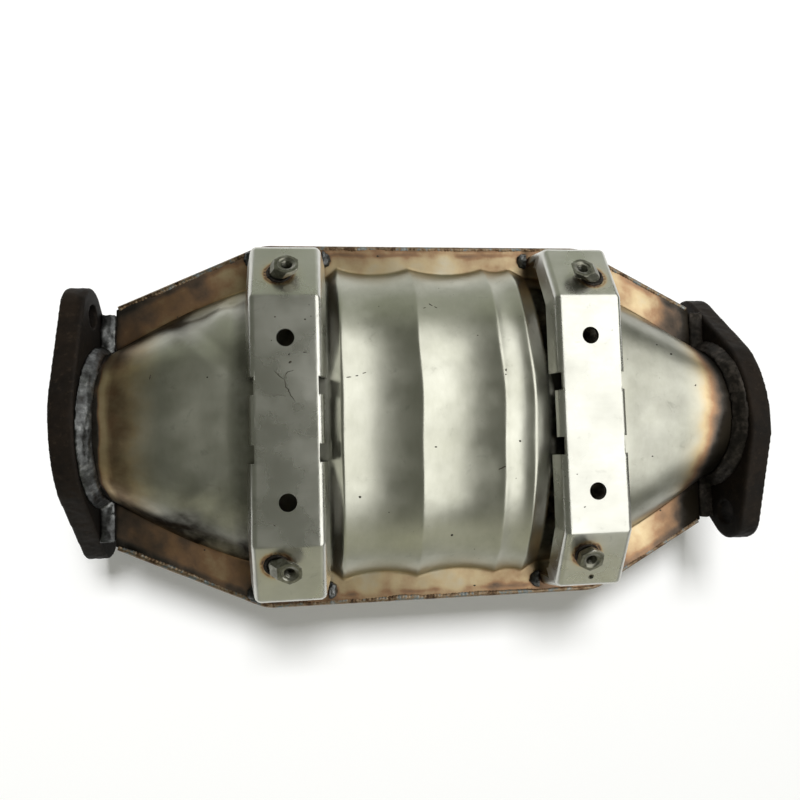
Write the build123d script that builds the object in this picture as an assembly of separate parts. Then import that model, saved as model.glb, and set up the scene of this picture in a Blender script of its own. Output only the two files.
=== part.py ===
from build123d import *
import os
from math import asin, atan2, cos, hypot, pi, radians, sin, sqrt, tan

# Catalytic converter of the stamped clamshell type. Millimetres.
# The origin is the centre of the inlet flange's joint face. +X is the way the gas flows,
# +Z is up, and the two stamped halves meet on the plane z = 0.

# Stamped halves
sheet = 1.8
neck_radius = 34.5
inlet_neck_length = 3.0
outlet_neck_length = 6.0
inlet_cone_length = 109.0
outlet_cone_length = 94.0
shoulder_half_width = 76.5
shoulder_height = 34.0
cone_fullness = 0.5
can_fullness = 0.83

# Ribbed can: the lengths of its end walls and of the three hollows between its ridges
can_half_width = 78.0
can_height = 35.2
ridge_rise = 3.0
inlet_wall_length = 5.5
outlet_wall_length = 8.0
hollow_lengths = (38.0, 40.0, 14.5)
hollow_depths = (1.0, 1.0, 0.45)

# Seam flange: its width beside the can and beside each neck, and how far its corners stand
# outside the can's end ridges
web_width = 11.5
inlet_web_width = 26.0
outlet_web_width = 25.0
inlet_corner_setback = 39.0
outlet_corner_setback = 40.5
seam_corner_radius = 24.0
seam_weld_width = 2.2
junction_radius = 2.5

# End flanges
flange_thickness = 11.0
flange_half_height = 41.0
flange_crown_radius = 60.0
flange_crown_angle = 23.5
lug_radius = 14.0
bolt_spacing = 109.0
bolt_hole_radius = 5.5
bore_radius = 31.0
inlet_flange_turn = 15.5
outlet_flange_turn = -15.5
flange_edge_radius = 0.8

# Welds between the necks and the flanges
inlet_weld_run = 7.0
outlet_weld_run = 6.5
neck_weld_height = 5.6
end_weld_half_height = 4.2
end_weld_reach = 21.5

# Bridge brackets: the clearance over the ridges, and how far the feet stand inside the seam's edge
bracket_sheet = 2.2
bracket_clearance = 4.3
bracket_foot_setback = 4.8
bracket_half_width = 16.2
bracket_slope_run = 27.7
bracket_slope_drop = 16.2
bracket_leg_rake = 3.5
bracket_edge_radius = 3.4
bracket_flare_angle = 15.0
side_flange_depth = 9.0
leg_flange_width = 6.0
centre_tab_depth = 4.6
centre_tab_half_length = 11.2
notch_length = 8.4
notch_depth = 1.6
bracket_hole_spacing = 74.5
bracket_hole_radius = 4.1
pilot_hole_radius = 1.4
pilot_hole_setback = 8.0
inlet_bracket_setback = 25.5
outlet_bracket_setback = 27.0

# Weld nuts on the sloped ends of the brackets
nut_flats = 11.0
nut_height = 6.5
nut_collar_height = 2.4
nut_collar_radius = 4.4
nut_bore_radius = 2.5
nut_bore_depth = 5.0
ring_radius = 5.1
ring_wire_radius = 0.85
# Each nut: offset of its foot across the bracket, foot's reach along it, lean across, lean along
nut_stances = {
    "inlet_nut_left": (-2.8, 68.7, 3.7, -0.3),
    "inlet_nut_right": (-5.7, 65.5, 6.0, -0.4),
    "outlet_nut_left": (4.6, 67.3, -6.6, -0.2),
    "outlet_nut_right": (-4.6, 67.5, 0.1, -1.4),
}

# Weld lumps at the bracket feet
foot_weld_length = 9.0
foot_weld_half_width = 4.6
foot_weld_height = 3.2
foot_weld_setback = 3.0

# Inside
mat_thickness = 5.0
fit_gap = 0.3
seal_length = 5.0
brick_setback = 2.0

# Depth below the seam plane to which the open forms run before they are trimmed
below_seam = 30.0

# Stations along X
inlet_back = flange_thickness
inlet_seam_end = inlet_back + inlet_weld_run
inlet_neck_end = inlet_back + inlet_neck_length
inlet_shoulder = inlet_neck_end + inlet_cone_length
can_start = inlet_shoulder + inlet_wall_length
can_end = can_start + sum(hollow_lengths)
outlet_shoulder = can_end + outlet_wall_length
outlet_neck_start = outlet_shoulder + outlet_cone_length
outlet_back = outlet_neck_start + outlet_neck_length
outlet_seam_end = outlet_back - outlet_weld_run
length = outlet_back + flange_thickness
inlet_corner = can_start - inlet_corner_setback
outlet_corner = can_end + outlet_corner_setback
inlet_bracket_station = can_start - inlet_bracket_setback
outlet_bracket_station = can_end + outlet_bracket_setback

# Widths and heights that follow from the can, the necks and the brackets
ridge_half_width = can_half_width + ridge_rise
ridge_height = can_height + ridge_rise
seam_half_width = ridge_half_width + web_width
seam_inlet_half_width = neck_radius + inlet_web_width
seam_outlet_half_width = neck_radius + outlet_web_width
inlet_taper_slope = (seam_half_width - seam_inlet_half_width) / (inlet_corner - inlet_seam_end)
outlet_taper_slope = (seam_half_width - seam_outlet_half_width) / (outlet_seam_end - outlet_corner)
bracket_height = ridge_height + bracket_clearance
bracket_toe_height = bracket_height - bracket_slope_drop
bracket_reach = seam_half_width - bracket_foot_setback
bracket_toe = bracket_reach - bracket_leg_rake
bracket_half_flat = bracket_toe - bracket_slope_run
bracket_flare = tan(radians(bracket_flare_angle))
foot_weld_reach = bracket_half_width + leg_flange_width * bracket_flare
end_weld_half_width = neck_radius + end_weld_reach


def across(x):
    """The upright plane at x, with its own x axis along Y."""
    return Plane(origin=(x, 0, 0), x_dir=(0, 1, 0), z_dir=(1, 0, 0))


def section(x, half_width, height, fullness, inset):
    """Half of a cross-section: z = h (1 - (y / w)^2)^fullness over a flat base."""
    w = half_width - inset
    h = height - inset
    steps = 16
    angles = [pi * i / steps for i in range(1, steps)]
    points = [(w * cos(a), h * sin(a) ** (2 * fullness)) for a in angles]
    arch = Spline([(w, 0)] + points + [(-w, 0)])
    return across(x) * make_face(arch + Line((-w, 0), (w, 0)))


def ridge(x, inset):
    return section(x, ridge_half_width, ridge_height, can_fullness, inset)


def cone_section(neck_x, shoulder_x, s, inset):
    """s runs from 0 at the neck to 1 at the shoulder; the flanks swell as a quarter sine."""
    swell = sin(s * pi / 2)
    half_width = neck_radius + (shoulder_half_width - neck_radius) * swell
    height = neck_radius + (shoulder_height - neck_radius) * swell
    fullness = cone_fullness + (can_fullness - cone_fullness) * swell
    return section(neck_x + (shoulder_x - neck_x) * s, half_width, height, fullness, inset)


def cone(neck_x, shoulder_x, inset):
    return loft([cone_section(neck_x, shoulder_x, s / 5, inset) for s in range(6)])


def neck(x0, x1, inset):
    ends = [section(x, neck_radius, neck_radius, cone_fullness, inset) for x in (x0, x1)]
    return loft(ends, ruled=True)


def shoulder(x, inset):
    return section(x, shoulder_half_width, shoulder_height, can_fullness, inset)


def hollow(x0, length_x, depth, inset):
    sag = ridge_rise * depth
    mid = section(
        x0 + length_x / 2, ridge_half_width - sag, ridge_height - sag, can_fullness, inset
    )
    return loft([ridge(x0, inset), mid, ridge(x0 + length_x, inset)])


def dome(inset):
    """The raised form of one half, solid down to the seam plane."""
    form = neck(inlet_back, inlet_neck_end, inset)
    form += cone(inlet_neck_end, inlet_shoulder, inset)
    form += loft([shoulder(inlet_shoulder, inset), ridge(can_start, inset)], ruled=True)
    x = can_start
    for length_x, depth in zip(hollow_lengths, hollow_depths):
        form += hollow(x, length_x, depth, inset)
        x += length_x
    form += loft([ridge(can_end, inset), shoulder(outlet_shoulder, inset)], ruled=True)
    form += cone(outlet_neck_start, outlet_shoulder, inset)
    form += neck(outlet_neck_start, outlet_back, inset)
    return form


def seam_outline(inset):
    """The hexagon of the seam flange, its long sides set in by the width of the weld."""
    over = 20.0
    side = [
        (inlet_seam_end - over, seam_inlet_half_width - over * inlet_taper_slope),
        (inlet_corner, seam_half_width),
        (outlet_corner, seam_half_width),
        (outlet_seam_end + over, seam_outlet_half_width - over * outlet_taper_slope),
    ]
    outline = Polyline(side + [(x, -y) for x, y in reversed(side)], close=True)
    face = make_face(outline)
    corners = face.vertices().filter_by(lambda v: abs(abs(v.Y) - seam_half_width) < 0.01)
    face = fillet(corners, seam_corner_radius)
    if inset > 0:
        face = offset(face, -inset, kind=Kind.INTERSECTION)
    span = outlet_seam_end - inlet_seam_end
    window = Pos((inlet_seam_end + outlet_seam_end) / 2, 0) * Rectangle(span, 4 * seam_half_width)
    return face & window


def stamped_half():
    plate = extrude(seam_outline(seam_weld_width), sheet)
    half = plate + dome(0)
    half = half - dome(sheet)

    def is_junction(edge):
        box = edge.bounding_box()
        level = abs(box.min.Z - sheet) < 0.01 and abs(box.max.Z - sheet) < 0.01
        between = inlet_seam_end < edge.center().X < outlet_seam_end
        return level and between and edge.geom_type == GeomType.BSPLINE

    return fillet(half.edges().filter_by(is_junction), junction_radius)


def on_outside(edge):
    """True for the long edges that follow the outer rim of the seam flange."""
    middle = edge.center()
    inner_limit = seam_half_width - seam_weld_width / 2
    if middle.X < inlet_corner:
        inner_limit -= (inlet_corner - middle.X) * inlet_taper_slope
    if middle.X > outlet_corner:
        inner_limit -= (middle.X - outlet_corner) * outlet_taper_slope
    return abs(middle.Y) > inner_limit and edge.length > 3 * seam_weld_width


def seam_weld(side):
    band = seam_outline(0) - seam_outline(seam_weld_width)
    bead = extrude(band, sheet, both=True)
    rims = bead.faces().filter_by(Axis.Z)
    outer = [edge for rim in rims for edge in rim.edges() if on_outside(edge)]
    bead = fillet(outer, seam_weld_width * 0.7)
    keep = Pos(length / 2, side * seam_half_width, 0) * Box(2 * length, 2 * seam_half_width, 4 * sheet)
    return bead & keep


def flange_outline():
    """Two-bolt diamond: a broad crown above and below, and a round lug at each end."""
    half_angle = radians(flange_crown_angle)
    crown_centre = flange_crown_radius - flange_half_height
    reach = flange_crown_radius * sin(half_angle)
    crown_end = flange_crown_radius * cos(half_angle) - crown_centre
    lug_x = bolt_spacing / 2
    # the straight flank leaves the crown's end and meets the lug's circle as a tangent
    span = hypot(lug_x - reach, crown_end)
    heading = atan2(-crown_end, lug_x - reach) + asin(lug_radius / span)
    flank = sqrt(span ** 2 - lug_radius ** 2)
    touch = (reach + flank * cos(heading), crown_end + flank * sin(heading))
    crown = ThreePointArc((-reach, crown_end), (0, flange_half_height), (reach, crown_end))
    upper = crown + Line((reach, crown_end), touch) + Line((-reach, crown_end), (-touch[0], touch[1]))
    lower = mirror(upper, Plane.XZ)
    ends = [
        ThreePointArc((s * touch[0], touch[1]), (s * (lug_x + lug_radius), 0), (s * touch[0], -touch[1]))
        for s in (1, -1)
    ]
    outline = make_face(upper + lower + ends[0] + ends[1])
    kinks = outline.vertices().filter_by(lambda v: abs(abs(v.X) - reach) < 0.01)
    return fillet(kinks, lug_radius)


def end_flange(x0, turn):
    blank = extrude(flange_outline(), flange_thickness)
    for s in (1, -1):
        blank -= Pos(s * bolt_spacing / 2, 0, flange_thickness / 2) * Cylinder(
            bolt_hole_radius, 2 * flange_thickness
        )
    blank -= Pos(0, 0, flange_thickness / 2) * Cylinder(bore_radius, 2 * flange_thickness)
    rims = blank.faces().filter_by(Axis.Z)
    outer = [edge for rim in rims for edge in rim.outer_wire().edges()]
    blank = fillet(outer, flange_edge_radius)
    return Rot(turn, 0, 0) * (across(x0) * blank)


def neck_weld(back_x, seam_x):
    """The bead round a neck, with its two arms across the ends of the seam flange."""
    gap = abs(seam_x - back_x)
    crown = neck_radius + neck_weld_height
    foot = neck_radius - sheet / 2
    middle = (gap * 0.6, neck_radius + neck_weld_height * 0.5)
    rim = ThreePointArc((0, crown), middle, (gap, foot))
    profile = make_face(Line((0, foot), (0, crown)) + rim + Line((gap, foot), (0, foot)))
    bead = revolve(profile, Axis.X)
    arm_middle = (end_weld_half_width + neck_radius) / 2
    arm_section = Ellipse(gap * 1.3, end_weld_half_height)
    for side in (1, -1):
        start = Plane(origin=(0, side * arm_middle, 0), x_dir=(1, 0, 0), z_dir=(0, 1, 0))
        bead += extrude(start * arm_section, end_weld_reach / 2, both=True)
    bead &= Pos(gap / 2, 0, 0) * Box(gap, 4 * neck_radius, 4 * neck_radius)
    if seam_x < back_x:
        bead = mirror(bead, Plane.YZ)
    return Pos(back_x, 0, 0) * bead


def bracket_profile(inset):
    """The bracket seen from its end: plateau, two slopes and two legs, closed below."""
    rake = bracket_leg_rake / (bracket_toe_height - sheet)
    half = [
        (bracket_half_flat, bracket_height),
        (bracket_toe, bracket_toe_height),
        (bracket_toe + rake * (bracket_toe_height + below_seam), -below_seam),
    ]
    points = half + [(-y, z) for y, z in reversed(half)]
    face = make_face(Polyline(points, close=True))
    if inset > 0:
        face = offset(face, -inset, kind=Kind.INTERSECTION)
    return face


def bracket_form(inset, edge_radius):
    """Solid form of the bracket, its sides flared all along, set in by the sheet thickness."""
    cosine = cos(radians(bracket_flare_angle))
    half_width = bracket_half_width + inset * bracket_flare - inset / cosine
    depth = side_flange_depth + bracket_edge_radius
    rim = half_width + depth * bracket_flare
    form = extrude(across(0) * bracket_profile(inset), half_width, both=True)
    ends = [across(half_width) * bracket_profile(inset), across(rim) * bracket_profile(inset + depth)]
    wing = loft(ends, ruled=True)
    form += wing
    form += mirror(wing, Plane.YZ)

    def is_bend(edge):
        """True above the feet for a fold, a long edge of the strip, or a mitre of the wings."""
        box = edge.bounding_box()
        outer = max(abs(box.min.X), abs(box.max.X))
        starts_on_strip = min(abs(box.min.X), abs(box.max.X)) < half_width + 0.01
        on_rim = abs(outer - rim) < 0.01 and box.size.X < 0.01
        return edge.center().Z > -below_seam + 1 and starts_on_strip and not on_rim

    return fillet(form.edges().filter_by(is_bend), edge_radius)


def bracket(station):
    body = bracket_form(0, bracket_edge_radius)
    body -= bracket_form(bracket_sheet, bracket_edge_radius - bracket_sheet)
    # the side walls are trimmed to narrow flanges that follow the profile
    throat = across(0) * bracket_profile(side_flange_depth)
    body -= extrude(throat, 4 * bracket_half_width, both=True)
    # between the notches only a short tab is left, to clear the crown of the cone
    tab_floor = bracket_height - centre_tab_depth
    relief_length = 2 * (centre_tab_half_length + notch_length)
    body -= Pos(0, 0, tab_floor - bracket_height) * Box(
        4 * bracket_half_width, relief_length, 2 * bracket_height
    )
    for end in (1, -1):
        for side in (1, -1):
            y = end * (centre_tab_half_length + notch_length / 2)
            x = side * (2 * bracket_half_width - notch_depth)
            body -= Pos(x, y, bracket_height) * Box(
                2 * bracket_half_width, notch_length, 2 * bracket_height
            )
    for end in (1, -1):
        hole = Cylinder(bracket_hole_radius, 4 * bracket_sheet)
        body -= Pos(0, end * bracket_hole_spacing / 2, bracket_height) * hole
    # below the slopes the side flanges narrow, to clear the flank of the can
    leg_clear = 2 * (bracket_reach - leg_flange_width)
    leg_top = bracket_toe_height - side_flange_depth
    below = 2 * (bracket_height + below_seam)
    body -= Pos(0, 0, leg_top - below / 2) * Box(8 * bracket_half_width, leg_clear, below)
    floor = Pos(0, 0, sheet - below / 2) * Box(8 * bracket_half_width, 4 * bracket_reach, below)
    return Pos(station, 0, 0) * (body - floor)


def slope_plane(station, end, offset_x, reach):
    """Plane on a sloped end: x across the bracket, y down the slope, z out of the sheet."""
    angle = atan2(bracket_slope_drop, bracket_slope_run)
    z = bracket_height - (reach - bracket_half_flat) * tan(angle)
    return Plane(
        origin=(station + offset_x, end * reach, z),
        x_dir=(1, 0, 0) if end > 0 else (-1, 0, 0),
        z_dir=(0, end * sin(angle), cos(angle)),
    )


def weld_nut(station, end, stance):
    """A hexagon weld nut whose collar stands on the slope, leaning as the values say."""
    offset_x, reach, lean_x, lean_y = stance
    plane = slope_plane(station, end, offset_x, reach)
    lean_x = lean_x * (1 if end > 0 else -1)

    def level(h):
        return Pos(lean_x * h / nut_height, lean_y * h / nut_height, h)

    circle = Circle(nut_collar_radius)
    collar = loft([level(0) * circle, level(nut_collar_height) * circle], ruled=True)
    hexagon = RegularPolygon(nut_flats / 2, 6, major_radius=False, rotation=30)
    head = loft([level(nut_collar_height) * hexagon, level(nut_height) * hexagon], ruled=True)
    nut = collar + head
    nut -= level(nut_height) * Pos(0, 0, -nut_bore_depth / 2) * Cylinder(nut_bore_radius, nut_bore_depth)
    torus = Torus(ring_radius, ring_wire_radius)
    above = Pos(0, 0, ring_radius) * Box(4 * ring_radius, 4 * ring_radius, 2 * ring_radius)
    ring = (torus & above) - nut
    return plane * nut, plane * ring


def foot_weld(station, end):
    """A lump of weld on each side of a bracket's foot, where it stands on the seam flange."""
    lumps = []
    size = 4 * foot_weld_length
    for side in (1, -1):
        lump = scale(Sphere(1), by=(foot_weld_half_width, foot_weld_length / 2, foot_weld_height))
        y = end * (bracket_reach - foot_weld_setback)
        lump = Pos(station + side * foot_weld_reach, y, sheet) * lump
        x = station + side * (foot_weld_reach + size / 2)
        lumps.append(lump & (Pos(x, y, sheet + size / 2) * Box(size, size, size)))
    return lumps


def closed_section(x0, x1, half_width, height):
    """A full oval prism from x0 to x1, of the same family as the can's cross-section."""
    upper = loft([section(x, half_width, height, can_fullness, 0) for x in (x0, x1)], ruled=True)
    return upper + mirror(upper, Plane.XY)


def inner_pieces():
    outer_w = can_half_width - sheet - fit_gap
    outer_h = can_height - sheet - fit_gap
    core_w = outer_w - mat_thickness
    core_h = outer_h - mat_thickness
    seal_start = can_start + fit_gap
    seal_end = can_end - fit_gap
    mat_start = seal_start + seal_length
    mat_end = seal_end - seal_length
    pieces = {}
    for name, x0, x1 in (
        ("support_mat", mat_start, mat_end),
        ("inlet_end_seal", seal_start, mat_start),
        ("outlet_end_seal", mat_end, seal_end),
    ):
        ring = closed_section(x0, x1, outer_w, outer_h)
        pieces[name] = ring - closed_section(x0 - 1, x1 + 1, core_w, core_h)
    brick_w = core_w - fit_gap
    brick_h = core_h - fit_gap
    pieces["ceramic_brick"] = closed_section(
        seal_start + brick_setback, seal_end - brick_setback, brick_w, brick_h
    )
    return pieces


def build():
    upper = stamped_half()
    nodes = {"upper_shell": upper, "lower_shell": mirror(upper, Plane.XY)}
    nodes["seam_weld_left"] = seam_weld(1)
    nodes["seam_weld_right"] = seam_weld(-1)
    nodes["inlet_flange"] = end_flange(0, inlet_flange_turn)
    nodes["outlet_flange"] = end_flange(outlet_back, outlet_flange_turn)
    raised = dome(0)
    for name, back_x, seam_x in (
        ("inlet_flange_weld", inlet_back, inlet_seam_end),
        ("outlet_flange_weld", outlet_back, outlet_seam_end),
    ):
        nodes[name] = neck_weld(back_x, seam_x) - raised - mirror(raised, Plane.XY)
    for end_name, station in (("inlet", inlet_bracket_station), ("outlet", outlet_bracket_station)):
        body = bracket(station)
        if end_name == "outlet":
            body -= slope_plane(station, -1, 0, bracket_reach - pilot_hole_setback) * Cylinder(
                pilot_hole_radius, 4 * bracket_sheet
            )
        for side_name, end in (("left", 1), ("right", -1)):
            nut_name = f"{end_name}_nut_{side_name}"
            nut, ring = weld_nut(station, end, nut_stances[nut_name])
            nodes[nut_name] = nut
            nodes[f"{nut_name}_ring"] = ring
            lumps = [lump - upper for lump in foot_weld(station, end)]
            nodes[f"{end_name}_foot_weld_{side_name}"] = Compound(children=lumps)
        nodes[f"{end_name}_bracket"] = body
    nodes.update(inner_pieces())
    return nodes


def main():
    os.makedirs("parts", exist_ok=True)
    for name, shape in build().items():
        export_step(shape, f"parts/{name}.step")


main()
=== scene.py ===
import bmesh
import bpy
import numpy as np
from math import atan2, cos, pi, radians, sin, tan
from mathutils import Matrix, Vector, noise


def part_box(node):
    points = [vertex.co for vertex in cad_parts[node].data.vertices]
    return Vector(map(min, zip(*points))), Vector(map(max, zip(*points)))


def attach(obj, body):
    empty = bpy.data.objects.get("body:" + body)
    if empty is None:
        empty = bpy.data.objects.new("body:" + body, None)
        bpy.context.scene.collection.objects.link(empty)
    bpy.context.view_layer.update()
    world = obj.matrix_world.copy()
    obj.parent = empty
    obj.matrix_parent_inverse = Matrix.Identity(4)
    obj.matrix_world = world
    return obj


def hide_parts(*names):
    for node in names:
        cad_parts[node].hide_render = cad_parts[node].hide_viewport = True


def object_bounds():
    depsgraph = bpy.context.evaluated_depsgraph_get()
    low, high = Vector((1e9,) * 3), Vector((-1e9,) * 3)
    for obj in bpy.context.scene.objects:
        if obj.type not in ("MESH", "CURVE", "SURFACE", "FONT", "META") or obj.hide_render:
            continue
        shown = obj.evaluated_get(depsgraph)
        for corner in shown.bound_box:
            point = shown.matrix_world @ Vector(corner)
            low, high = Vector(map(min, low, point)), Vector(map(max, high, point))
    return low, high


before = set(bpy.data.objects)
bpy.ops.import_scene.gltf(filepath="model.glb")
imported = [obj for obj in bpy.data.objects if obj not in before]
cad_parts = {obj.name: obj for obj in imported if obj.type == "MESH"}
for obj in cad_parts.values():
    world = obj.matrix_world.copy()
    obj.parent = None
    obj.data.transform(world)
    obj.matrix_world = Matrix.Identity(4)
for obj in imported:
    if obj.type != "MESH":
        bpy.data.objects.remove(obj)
cad_low, cad_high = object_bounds()
MM = 0.001

# Camera first, so the view is fixed before anything else is built
RIGHT = Vector((0.99214, -0.02834, 0.12191)).normalized()
UP = Vector((0.01951, 0.99714, 0.073))
UP = (UP - RIGHT * UP.dot(RIGHT)).normalized()
BACK = RIGHT.cross(UP)
CAMERA_PLACE = (0.116425, -0.013915, 0.348805)
FOCAL_PX, PICTURE_PX, SENSOR_MM = 671.631, 800, 36.0
cam_data = bpy.data.cameras.new("camera")
cam_data.sensor_width = SENSOR_MM
cam_data.lens = FOCAL_PX / PICTURE_PX * SENSOR_MM
cam = bpy.data.objects.new("camera", cam_data)
cam.matrix_world = Matrix.Translation(CAMERA_PLACE) @ Matrix((RIGHT, UP, BACK)).transposed().to_4x4()
bpy.context.scene.collection.objects.link(cam)
bpy.context.scene.camera = cam
FLOOR_Z, FLOOR_HALF = cad_low[2] - 0.00005, 4.0


# Node graphs

class Graph:
    """A small writer of node materials. Values may be numbers or sockets."""

    def __init__(self, name):
        self.material = bpy.data.materials.new(name)
        self.material.use_nodes = True
        self.tree = self.material.node_tree
        self.tree.nodes.clear()
        self.output = self.tree.nodes.new("ShaderNodeOutputMaterial")
        self.shader = self.tree.nodes.new("ShaderNodeBsdfPrincipled")
        self.tree.links.new(self.shader.outputs[0], self.output.inputs[0])
        self.place = self.tree.nodes.new("ShaderNodeTexCoord").outputs["Object"]

    def feed(self, socket, value):
        if isinstance(value, bpy.types.NodeSocket):
            self.tree.links.new(value, socket)
        elif socket.type == "RGBA":
            socket.default_value = tuple(value) + (1.0,) if len(value) == 3 else value
        else:
            socket.default_value = value

    def set(self, **values):
        for key, value in values.items():
            self.feed(self.shader.inputs[key.replace("_", " ")], value)

    def math(self, op, a, b=0.0, clamp=False):
        node = self.tree.nodes.new("ShaderNodeMath")
        node.operation = op
        node.use_clamp = clamp
        self.feed(node.inputs[0], a)
        self.feed(node.inputs[1], b)
        return node.outputs[0]

    def attribute(self, name):
        node = self.tree.nodes.new("ShaderNodeAttribute")
        node.attribute_name = name
        return node.outputs["Fac"]

    def stretch(self, x, y, z):
        node = self.tree.nodes.new("ShaderNodeMapping")
        self.feed(node.inputs["Vector"], self.place)
        node.inputs["Scale"].default_value = (x, y, z)
        return node.outputs[0]

    def noise(self, size_mm, detail=3.0, rough=0.55, place=None, distort=0.0):
        node = self.tree.nodes.new("ShaderNodeTexNoise")
        self.feed(node.inputs["Vector"], place or self.place)
        node.inputs["Scale"].default_value = 1000.0 / size_mm
        node.inputs["Detail"].default_value = detail
        node.inputs["Roughness"].default_value = rough
        node.inputs["Distortion"].default_value = distort
        return node.outputs["Fac"]

    def cells(self, size_mm):
        node = self.tree.nodes.new("ShaderNodeTexVoronoi")
        self.feed(node.inputs["Vector"], self.place)
        node.inputs["Scale"].default_value = 1000.0 / size_mm
        return node.outputs["Distance"]

    def ramp(self, factor, stops):
        """Colour and alpha of a ramp; each stop is (position, (r, g, b)) or has an alpha too."""
        node = self.tree.nodes.new("ShaderNodeValToRGB")
        elements = node.color_ramp.elements
        elements[0].position, elements[1].position = stops[0][0], stops[-1][0]
        for position, _ in stops[1:-1]:
            elements.new(position)
        for element, (_, colour) in zip(elements, stops):
            element.color = tuple(colour) + (1.0,) if len(colour) == 3 else colour
        self.feed(node.inputs[0], factor)
        return node.outputs["Color"], node.outputs["Alpha"]

    def span(self, value, low, high, to_low=0.0, to_high=1.0):
        node = self.tree.nodes.new("ShaderNodeMapRange")
        node.clamp = True
        self.feed(node.inputs["Value"], value)
        for key, number in (("From Min", low), ("From Max", high), ("To Min", to_low), ("To Max", to_high)):
            node.inputs[key].default_value = number
        return node.outputs[0]

    def mix(self, factor, a, b):
        node = self.tree.nodes.new("ShaderNodeMix")
        node.data_type = "RGBA"
        self.feed(node.inputs[0], factor)
        self.feed(node.inputs[6], a)
        self.feed(node.inputs[7], b)
        return node.outputs[2]

    def bump(self, height, depth_mm, strength=1.0, normal=None):
        node = self.tree.nodes.new("ShaderNodeBump")
        node.inputs["Strength"].default_value = strength
        node.inputs["Distance"].default_value = depth_mm * MM
        self.feed(node.inputs["Height"], height)
        if normal is not None:
            self.feed(node.inputs["Normal"], normal)
        return node.outputs[0]


def stainless(name, dark, light, roughness, brush):
    """Satin sheet: cloudy value, fine grain stretched by brush, specks, and heat tint, soot and painted shade by
    attributes.
    """
    g = Graph(name)
    cloud = g.noise(34, 4, 0.6)
    fine = g.noise(3.2, 4, 0.65, g.stretch(*brush))
    value = g.math("ADD", g.math("MULTIPLY", cloud, 0.75), g.math("MULTIPLY", fine, 0.25))
    colour = g.mix(g.span(value, 0.33, 0.67), dark, light)
    smudge = g.span(g.noise(9, 5, 0.7, distort=0.6), 0.60, 0.74)
    colour = g.mix(g.math("MULTIPLY", smudge, 0.4), colour, tuple(c * 0.55 for c in dark))
    speck = g.span(g.cells(7.0), 0.055, 0.02)
    speck = g.math("MULTIPLY", speck, g.span(g.noise(21, 2), 0.54, 0.60))
    colour = g.mix(g.math("MULTIPLY", speck, 0.85), colour, (0.035, 0.03, 0.025))
    heat = g.attribute("tint_level")
    wobble = g.math("MULTIPLY", g.math("SUBTRACT", g.noise(12, 4, 0.65), 0.5), 0.34)
    heat = g.math("ADD", heat, g.math("MULTIPLY", wobble, g.span(heat, 0.02, 0.3)), True)
    tint, amount = g.ramp(heat, [
        (0.00, (0.60, 0.55, 0.42, 0.0)),
        (0.22, (0.60, 0.50, 0.33, 0.40)),
        (0.42, (0.57, 0.42, 0.22, 0.75)),
        (0.60, (0.34, 0.19, 0.10, 0.92)),
        (0.76, (0.14, 0.095, 0.07, 0.95)),
        (0.88, (0.055, 0.047, 0.042, 0.97)),
        (1.00, (0.016, 0.014, 0.012, 1.0)),
    ])
    colour = g.mix(amount, colour, tint)
    # soot together with painted shade, read from the mesh, darkens the colour
    soot_and_shade = g.attribute("soot_and_shade_level")
    soot_and_shade = g.math("MULTIPLY", soot_and_shade, g.span(g.noise(15, 4), 0.3, 0.6, 0.6, 1.0))
    colour = g.mix(soot_and_shade, colour, (0.015, 0.012, 0.008))
    shine = g.span(g.noise(18, 3), 0.35, 0.65, roughness - 0.05, roughness + 0.06)
    shine = g.math("ADD", shine, g.math("MULTIPLY", heat, 0.16))
    grain = g.bump(fine, 0.02, 0.35)
    grain = g.bump(g.noise(1.1, 2, 0.6), 0.012, 0.3, grain)
    g.set(Base_Color=colour, Metallic=1.0, Roughness=shine, Normal=grain)
    return g.material


def oxide(name, dark, warm, pale, roughness):
    """Heat-blackened steel: scale in two browns with a little bare metal on what stands proud."""
    g = Graph(name)
    broad = g.noise(17, 5, 0.65, distort=0.4)
    fine = g.noise(2.6, 5, 0.7)
    colour = g.mix(g.span(broad, 0.38, 0.64), dark, warm)
    colour = g.mix(g.span(fine, 0.56, 0.72, 0.0, 0.7), colour, pale)
    colour = g.mix(g.span(g.noise(6, 4), 0.30, 0.44, 0.6, 0.0), colour, tuple(c * 0.4 for c in dark))
    scale = g.bump(fine, 0.16, 0.8)
    scale = g.bump(g.noise(0.9, 3, 0.7), 0.05, 0.7, scale)
    g.set(Base_Color=colour, Metallic=0.2, Specular_IOR_Level=0.2, Roughness=roughness, Normal=scale)
    return g.material


def weld_metal(name, stops, roughness, metallic=1.0):
    """Crusty metal whose colour wanders over the given stops."""
    g = Graph(name)
    blend = g.math("ADD", g.math("MULTIPLY", g.noise(7, 4, 0.65), 0.7), g.math("MULTIPLY", g.noise(2, 3), 0.3))
    colour, _ = g.ramp(g.span(blend, 0.34, 0.66), stops)
    crust = g.bump(g.noise(1.0, 4, 0.7), 0.07, 0.6)
    g.set(Base_Color=colour, Metallic=metallic, Roughness=roughness, Normal=crust)
    return g.material


SHELL = stainless("satin_shell", (0.40, 0.40, 0.34), (0.52, 0.52, 0.46), 0.33, (1.0, 0.35, 1.0))
BRACKET = stainless("satin_bracket", (0.49, 0.49, 0.45), (0.60, 0.60, 0.56), 0.29, (0.25, 1.0, 1.0))
FLANGE = oxide("heat_oxide", (0.0055, 0.004, 0.003), (0.012, 0.0078, 0.005), (0.030, 0.021, 0.014), 0.68)
SILVER_WELD = weld_metal("silver_weld", [
    (0.0, (0.030, 0.029, 0.028)), (0.35, (0.058, 0.059, 0.060)),
    (0.65, (0.100, 0.103, 0.104)), (1.0, (0.21, 0.213, 0.213)),
], 0.40)
SEAM_WELD = weld_metal("seam_bead", [
    (0.0, (0.035, 0.028, 0.024)), (0.3, (0.12, 0.075, 0.045)), (0.55, (0.27, 0.20, 0.13)),
    (0.75, (0.16, 0.19, 0.20)), (1.0, (0.36, 0.34, 0.31)),
], 0.46)
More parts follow.
